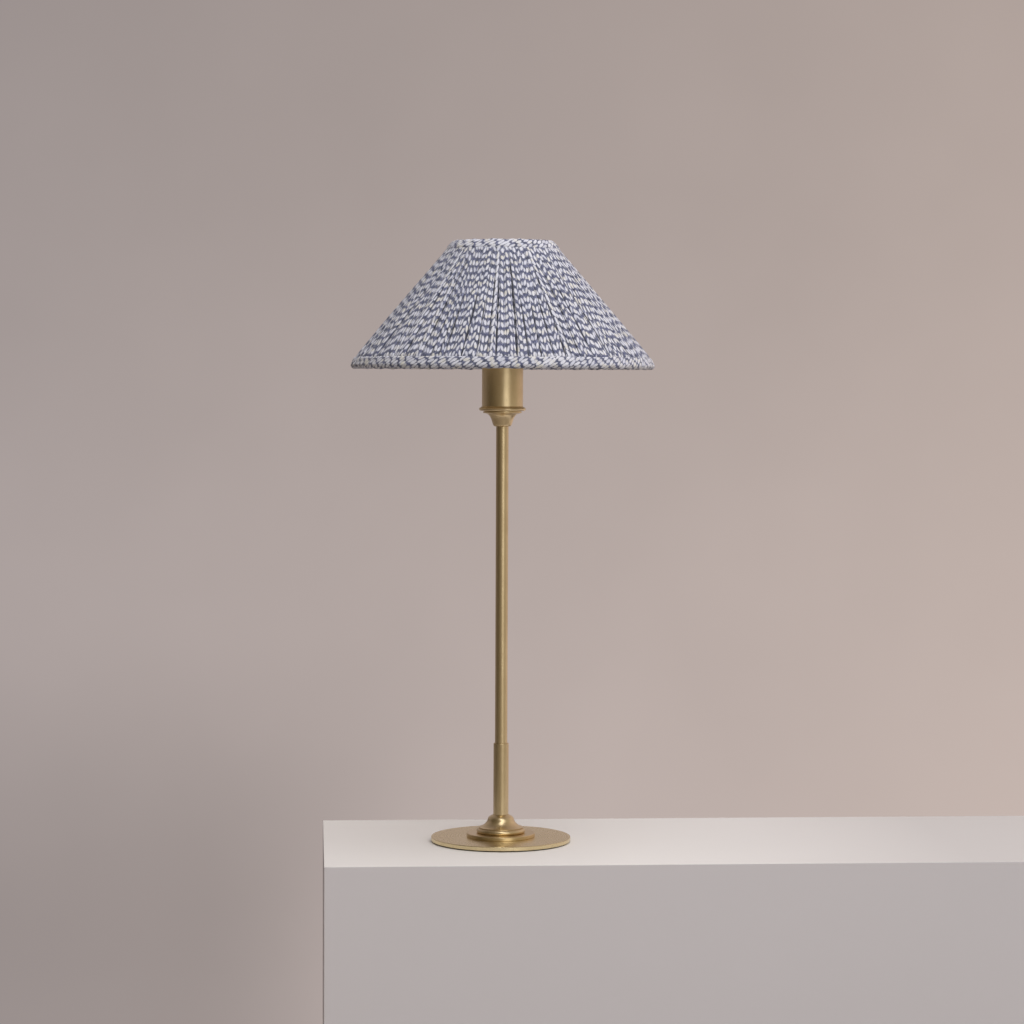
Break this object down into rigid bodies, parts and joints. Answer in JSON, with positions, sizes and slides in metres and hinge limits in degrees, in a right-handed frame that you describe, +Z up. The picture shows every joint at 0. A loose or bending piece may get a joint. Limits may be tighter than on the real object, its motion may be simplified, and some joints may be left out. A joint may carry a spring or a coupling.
{
  "type": "table lamp",
  "caption": "Slim brass candlestick table lamp with a round foot, a turned cup round the lampholder and a gathered cone shade on a wire carrier.",
  "frame": {"origin": "centre of the foot's underside, on the stem's axis", "axes": "+Z up along the stem, +Y towards the back, where the flex leaves the foot, +X to the right seen from the front"},
  "size_m": [0.3019, 0.302, 0.6],
  "materials": {
    "brass": "satin, lightly aged brass",
    "felt": "pressed felt",
    "steel_zinc": "zinc plated",
    "brass_bare": "bare pressed brass",
    "bush_plastic": "moulded, dark brown",
    "holder_plastic": "moulded, black",
    "ceramic": "unglazed",
    "carrier_wire": "brass plated steel",
    "frame_paint": "white powder coat",
    "lining": "fine cream cotton",
    "cover": "woven cotton, slate blue and white dashes",
    "binding": "the same cotton, cut on the bias",
    "opal": "opal, satin",
    "bulb_plastic": "moulded, white",
    "bulb_metal": "nickel plated",
    "insulator": "black vitrite",
    "board": "circuit board"
  },
  "bodies": {
    "lamp": {"foot_felt": "felt", "base_plate": "brass", "base_screws": "steel_zinc", "base_boss": "brass", "flex_bush": "bush_plastic", "earth_tag": "steel_zinc", "earth_screw": "steel_zinc", "tie_rod": "steel_zinc", "stem_tube": "brass", "stem_sleeve": "brass", "holder_cup": "brass", "cup_washer": "steel_zinc", "cup_nut": "brass_bare", "holder_skirt": "brass", "lampholder_cap": "holder_plastic", "lampholder_body": "holder_plastic", "contact_block": "ceramic", "screw_shell": "brass_bare", "centre_contact": "brass_bare", "terminal_posts": "brass_bare", "terminal_screws": "steel_zinc"},
    "holder_ring": {"clamp_ring": "holder_plastic"},
    "carrier": {"carrier_lower_ring": "carrier_wire", "carrier_top_ring": "carrier_wire", "carrier_arms": "carrier_wire"},
    "shade": {"shade_top_ring": "frame_paint", "shade_bottom_ring": "frame_paint", "shade_struts": "frame_paint", "shade_centre_ring": "frame_paint", "shade_centre_arms": "frame_paint", "shade_lining": "lining", "shade_cover": "cover", "top_binding": "binding", "bottom_binding": "binding"},
    "bulb_tip": {"bulb_contact": "bulb_metal"},
    "bulb": {"bulb_insulator": "insulator", "bulb_cap": "bulb_metal", "bulb_body": "bulb_plastic", "bulb_driver": "board", "bulb_led_board": "board", "bulb_globe": "opal"}
  },
  "joints": [
    {"name": "ring_turn", "type": "hinge", "parent": "lamp", "child": "holder_ring", "pos_m": [0, 0, 0.488], "axis": [0, 0, 1], "range_deg": [0, 90]},
    {"name": "carrier_turn", "type": "hinge", "parent": "lamp", "child": "carrier", "pos_m": [0, 0, 0.484], "axis": [0, 0, 1], "continuous": true},
    {"name": "shade_lift", "type": "slide", "parent": "carrier", "child": "shade", "axis": [0, 0, 1], "range_m": [0, 0.11]},
    {"name": "bulb_rise", "type": "slide", "parent": "lamp", "child": "bulb_tip", "axis": [0, 0, 1], "range_m": [0, 0.02903]},
    {"name": "bulb_screw", "type": "hinge", "parent": "bulb_tip", "child": "bulb", "pos_m": [0, 0, 0.48], "axis": [0, 0, 1], "range_deg": [0, 2882]}
  ],
  "couplings": [
    {"joint": "bulb_screw", "follows": "bulb_rise", "rad_per_m": 1731.4}
  ]
}
